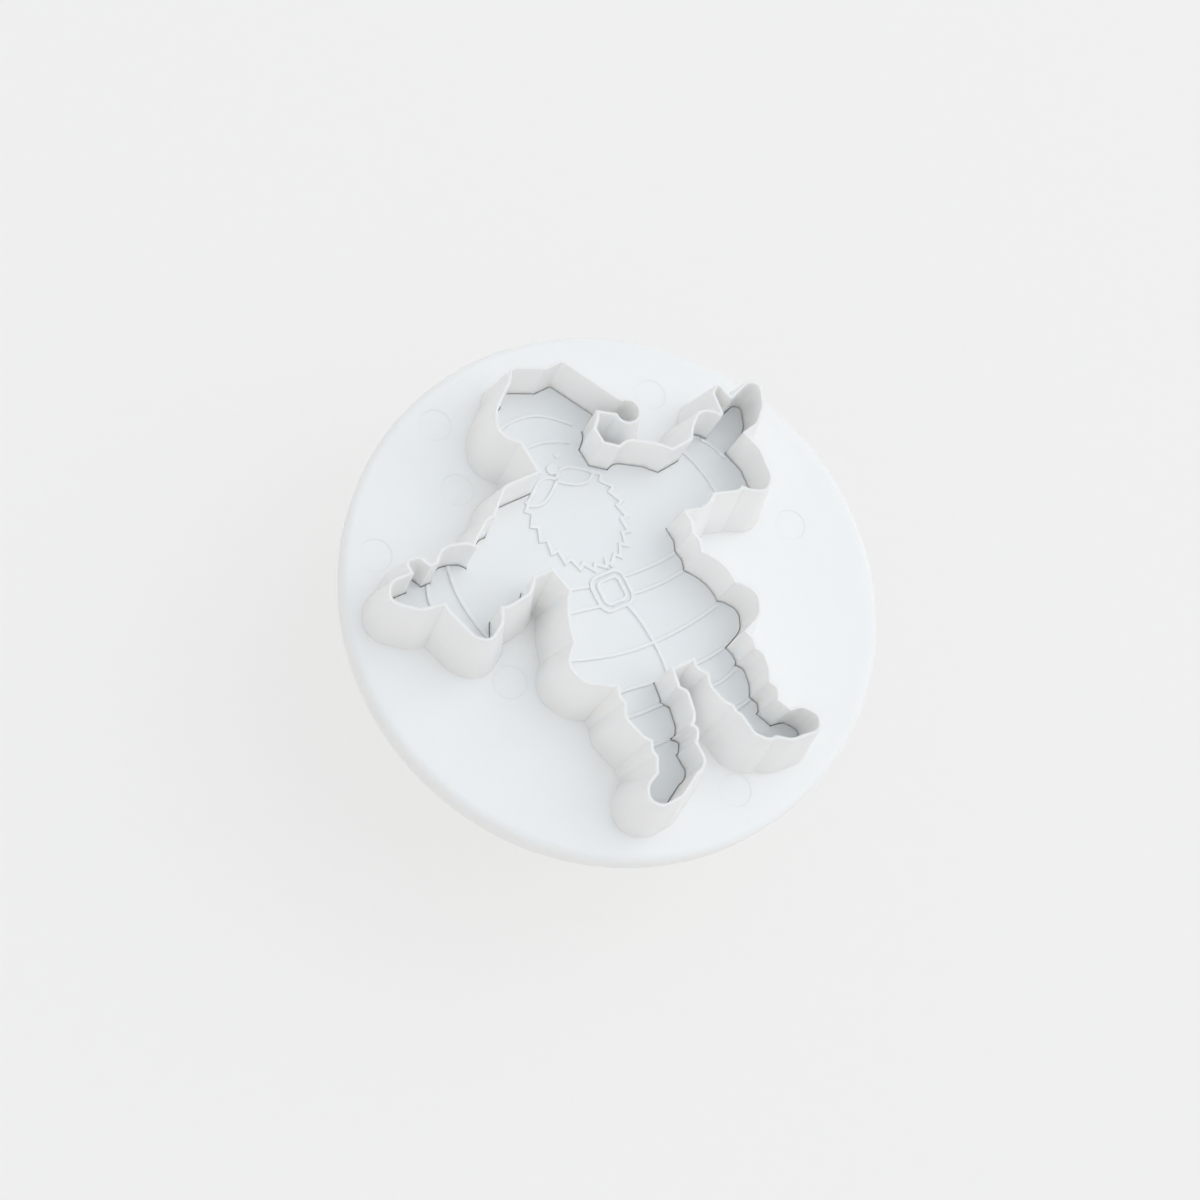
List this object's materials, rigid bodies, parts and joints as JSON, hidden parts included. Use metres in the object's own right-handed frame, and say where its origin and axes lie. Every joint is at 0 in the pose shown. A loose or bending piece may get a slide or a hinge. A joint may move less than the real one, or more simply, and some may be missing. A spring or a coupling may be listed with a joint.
{
  "type": "plunger cutter",
  "caption": "Round-flanged hand cutter with a figure-shaped cutting wall, a sprung embossing plate inside it and a push button behind.",
  "frame": {"origin": "on the plunger's axis, at the flat ring of the push button's outer face", "axes": "+Z along the plunger from the button to the cutting edge, +Y from the figure's feet to its hat, +X to the right as the cutting side is looked at"},
  "size_m": [0.095, 0.095, 0.0565],
  "materials": {
    "white_plastic": "smooth satin white, injection moulded",
    "spring_steel": "bright drawn stainless wire"
  },
  "bodies": {
    "cutter": {"cutter_body": "white_plastic", "return_spring": "spring_steel"},
    "plunger": {"embossing_plate": "white_plastic", "plunger_stem": "white_plastic", "push_button": "white_plastic"}
  },
  "joints": [
    {"name": "plunger_slide", "type": "slide", "parent": "cutter", "child": "plunger", "axis": [0, 0, 1], "range_m": [0, 0.01], "stiffness_N_per_m": 800, "springref_m": -0.004, "deforming": ["return_spring"]}
  ]
}
